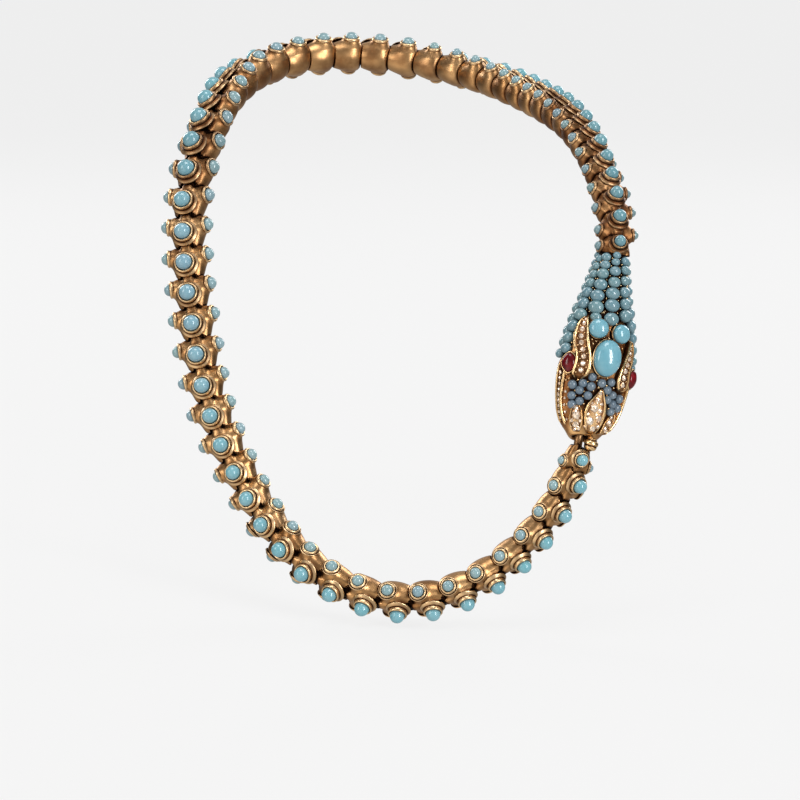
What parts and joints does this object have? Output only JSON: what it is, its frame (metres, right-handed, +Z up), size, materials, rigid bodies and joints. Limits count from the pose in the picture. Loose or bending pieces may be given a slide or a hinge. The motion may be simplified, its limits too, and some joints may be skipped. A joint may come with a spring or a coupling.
{
  "type": "snake necklace",
  "caption": "Flexible snake of studded gold links set with domed turquoise, closed round the neck by its tail, which goes into the mouth of a paved head with ruby eyes.",
  "frame": {"origin": "at the nape, on the inner side of the loop where it rests on the back of the neck", "axes": "+Z up, -Y towards the wearer's front, +X towards the viewer's right when the necklace is seen from the front"},
  "size_m": [0.0949, 0.1225, 0.117],
  "materials": {
    "link_gold": "antique yellow gold, polished on the high parts and dark in the recesses",
    "head_gold": "antique yellow gold, satin, with grains and fine rims",
    "large_turquoise": "polished opaque sky-blue stone",
    "small_turquoise": "polished opaque pale grey-blue stone",
    "head_beads": "polished opaque blue stone beads with gold grains between them",
    "snout_beads": "polished slate-blue stone beads",
    "ruby": "polished deep red stone",
    "diamond_setting": "gold setting filled with small faceted clear stones"
  },
  "bodies": {
    "necklace": {"link_01": "link_gold", "link_02": "link_gold", "link_03": "link_gold", "link_04": "link_gold", "link_05": "link_gold", "link_06": "link_gold", "link_07": "link_gold", "link_08": "link_gold", "link_09": "link_gold", "link_24": "link_gold", "link_25": "link_gold", "link_26": "link_gold", "link_27": "link_gold", "link_28": "link_gold", "link_29": "link_gold", "link_30": "link_gold", "link_31": "link_gold", "link_32": "link_gold", "link_33": "link_gold", "link_34": "link_gold", "link_35": "link_gold", "link_36": "link_gold", "link_37": "link_gold", "link_38": "link_gold", "link_39": "link_gold", "link_40": "link_gold", "link_41": "link_gold", "link_42": "link_gold", "link_43": "link_gold", "link_44": "link_gold", "link_45": "link_gold", "link_46": "link_gold", "link_47": "link_gold", "link_48": "link_gold", "link_49": "link_gold", "link_50": "link_gold", "link_51": "link_gold", "link_52": "link_gold", "link_53": "link_gold", "link_54": "link_gold", "back_links_a": "link_gold", "back_links_b": "link_gold", "back_links_c": "link_gold", "neck_collar": "link_gold", "tail_tip": "link_gold", "outer_stones": "large_turquoise", "side_stones_right": "small_turquoise", "side_stones_left": "small_turquoise", "side_stones_front": "small_turquoise", "head_shell": "head_gold", "nape_pave": "head_beads", "crown_rounds": "large_turquoise", "crown_oval": "large_turquoise", "brow_bands": "diamond_setting", "eyes": "ruby", "snout_pave": "snout_beads", "nose_leaf": "diamond_setting", "side_petals": "diamond_setting", "jaw_rim": "head_gold"},
    "thumb": {"thumb_piece": "head_gold"}
  },
  "joints": [
    {"name": "thumb_press", "type": "slide", "parent": "necklace", "child": "thumb", "axis": [-0.4163, 0.9061, -0.0748], "range_m": [0, 0.0005], "stiffness_N_per_m": 400}
  ]
}
